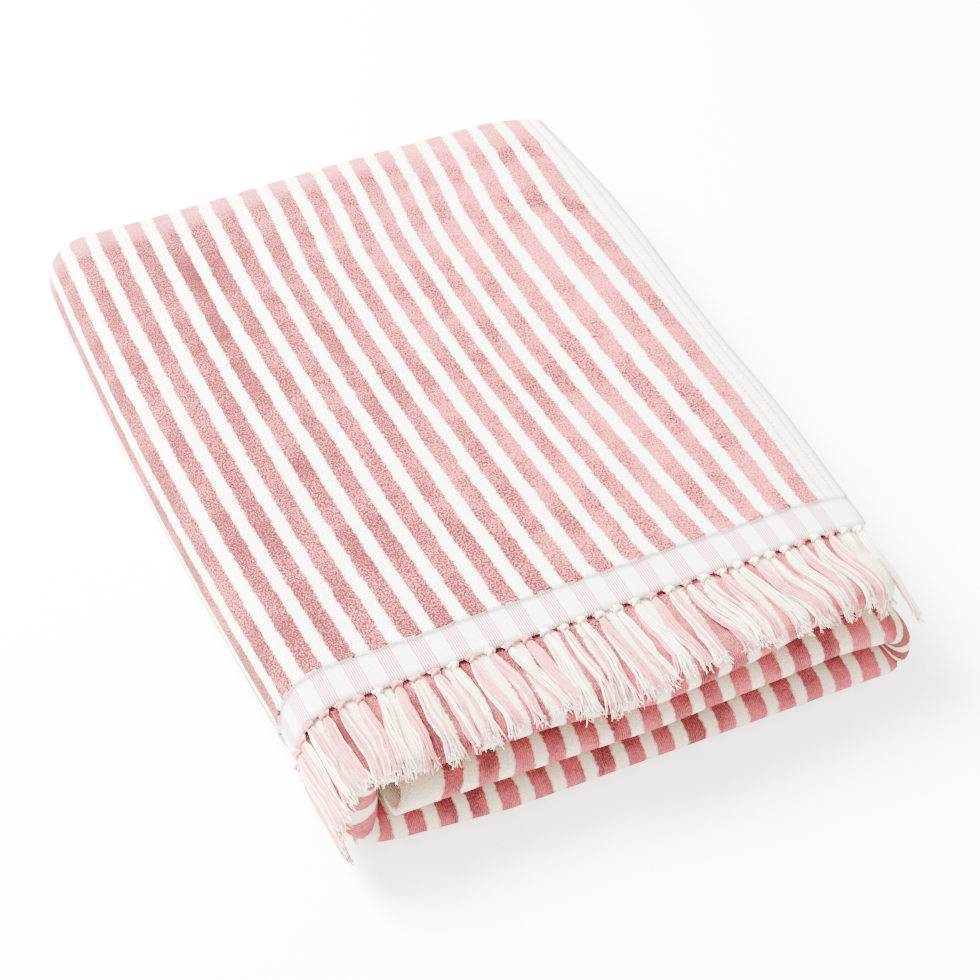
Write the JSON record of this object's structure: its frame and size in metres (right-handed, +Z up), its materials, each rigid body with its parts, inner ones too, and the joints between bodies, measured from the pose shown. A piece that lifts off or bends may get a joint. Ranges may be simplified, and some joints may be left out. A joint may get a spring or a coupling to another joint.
{
  "type": "folded beach towel",
  "caption": "Striped terry beach towel, folded into a flat pile, with a flat woven border and a knotted fringe that hangs over the front fold.",
  "frame": {"origin": "under the middle of the folded towel, on the surface it lies on", "axes": "+Z up; +Y from the fringed end that shows to the folds at the back; +X towards the side hem that shows"},
  "size_m": [0.336, 0.4708, 0.0683],
  "materials": {
    "terry": "matte looped pile, pink and white stripes",
    "fringe_yarn": "matte twisted cotton yarn, pink and white"
  },
  "bodies": {
    "root": {"towel_cloth": "terry", "fringe_outer": "fringe_yarn", "fringe_inner": "fringe_yarn"}
  },
  "joints": []
}
